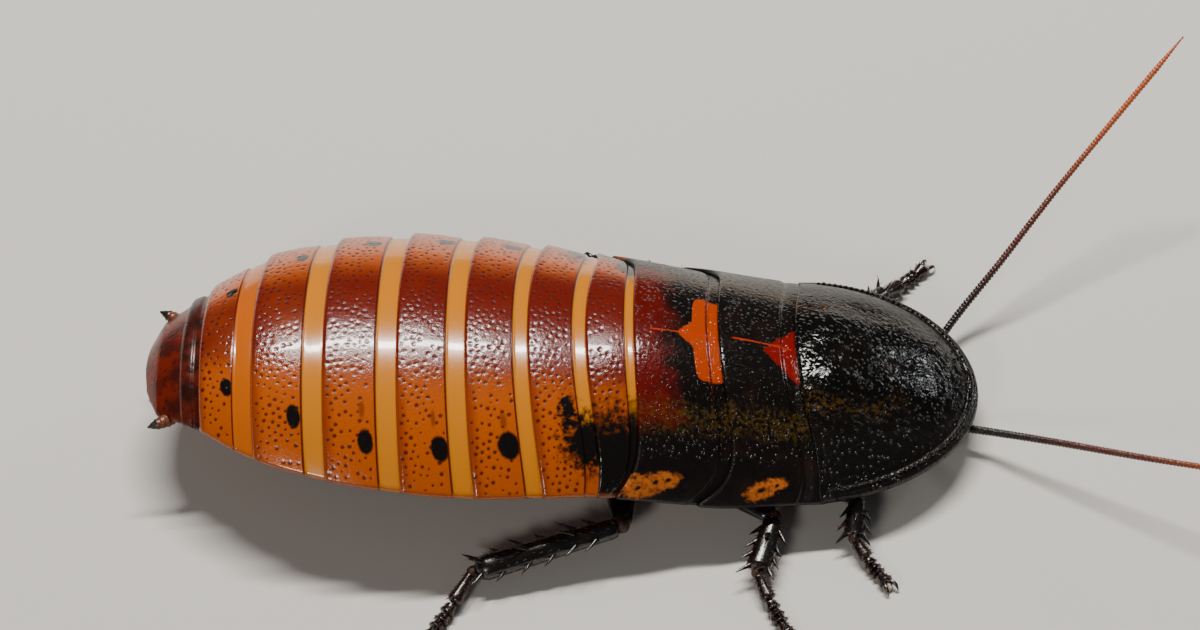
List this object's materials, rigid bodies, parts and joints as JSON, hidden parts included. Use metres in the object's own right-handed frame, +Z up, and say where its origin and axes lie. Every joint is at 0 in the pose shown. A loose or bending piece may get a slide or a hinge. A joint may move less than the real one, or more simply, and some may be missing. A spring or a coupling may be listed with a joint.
{
  "type": "madagascar hissing cockroach",
  "caption": "Wingless tropical cockroach, life size, standing on its feet: banded orange-brown abdomen, black thorax with a domed shield over the head, spiny legs and long antennae.",
  "frame": {"origin": "on the floor under the middle of the whole model's box", "axes": "+X towards the head, +Y towards the animal's left side, +Z up"},
  "size_m": [0.0876, 0.0478, 0.0146],
  "materials": {
    "abdomen_cuticle": "glossy orange-brown chitin with dark raised dots and pale smooth front bands",
    "dark_cuticle": "black grained chitin, satin with glossy grains, orange marks on the thorax",
    "tail_cuticle": "dark red-brown satin chitin",
    "under_cuticle": "smooth brown chitin under the shield",
    "head_cuticle": "smooth glossy dark red-brown chitin",
    "palp_cuticle": "satin brown chitin",
    "joint_skin": "soft wrinkled tan skin",
    "eye": "glossy black faceted eye",
    "antenna_cuticle": "satin ringed chitin, black at the base to red-brown at the tip",
    "leg_cuticle": "glossy black-brown chitin with tapered spines"
  },
  "bodies": {
    "root": {"abdomen_1": "abdomen_cuticle", "abdomen_2": "abdomen_cuticle", "abdomen_3": "abdomen_cuticle", "abdomen_4": "abdomen_cuticle", "abdomen_5": "abdomen_cuticle", "abdomen_6": "abdomen_cuticle", "abdomen_7": "abdomen_cuticle", "abdomen_8": "tail_cuticle", "antenna_left": "antenna_cuticle", "antenna_right": "antenna_cuticle", "cercus_left": "tail_cuticle", "cercus_right": "tail_cuticle", "eye_left": "eye", "eye_right": "eye", "front_left_coxa": "leg_cuticle", "front_left_femur": "leg_cuticle", "front_left_tarsus": "leg_cuticle", "front_left_tibia": "leg_cuticle", "front_right_coxa": "leg_cuticle", "front_right_femur": "leg_cuticle", "front_right_tarsus": "leg_cuticle", "front_right_tibia": "leg_cuticle", "head": "head_cuticle", "hind_left_coxa": "leg_cuticle", "hind_left_femur": "leg_cuticle", "hind_left_tarsus": "leg_cuticle", "hind_left_tibia": "leg_cuticle", "hind_right_coxa": "leg_cuticle", "hind_right_femur": "leg_cuticle", "hind_right_tarsus": "leg_cuticle", "hind_right_tibia": "leg_cuticle", "mandible_left": "head_cuticle", "mandible_right": "head_cuticle", "mesothorax": "dark_cuticle", "metathorax": "dark_cuticle", "middle_left_coxa": "leg_cuticle", "middle_left_femur": "leg_cuticle", "middle_left_tarsus": "leg_cuticle", "middle_left_tibia": "leg_cuticle", "middle_right_coxa": "leg_cuticle", "middle_right_femur": "leg_cuticle", "middle_right_tarsus": "leg_cuticle", "middle_right_tibia": "leg_cuticle", "neck": "joint_skin", "palp_labial_left": "palp_cuticle", "palp_labial_right": "palp_cuticle", "palp_maxillary_left": "palp_cuticle", "palp_maxillary_right": "palp_cuticle", "pronotum": "dark_cuticle", "prothorax": "under_cuticle", "supra_anal_plate": "tail_cuticle"}
  },
  "joints": []
}
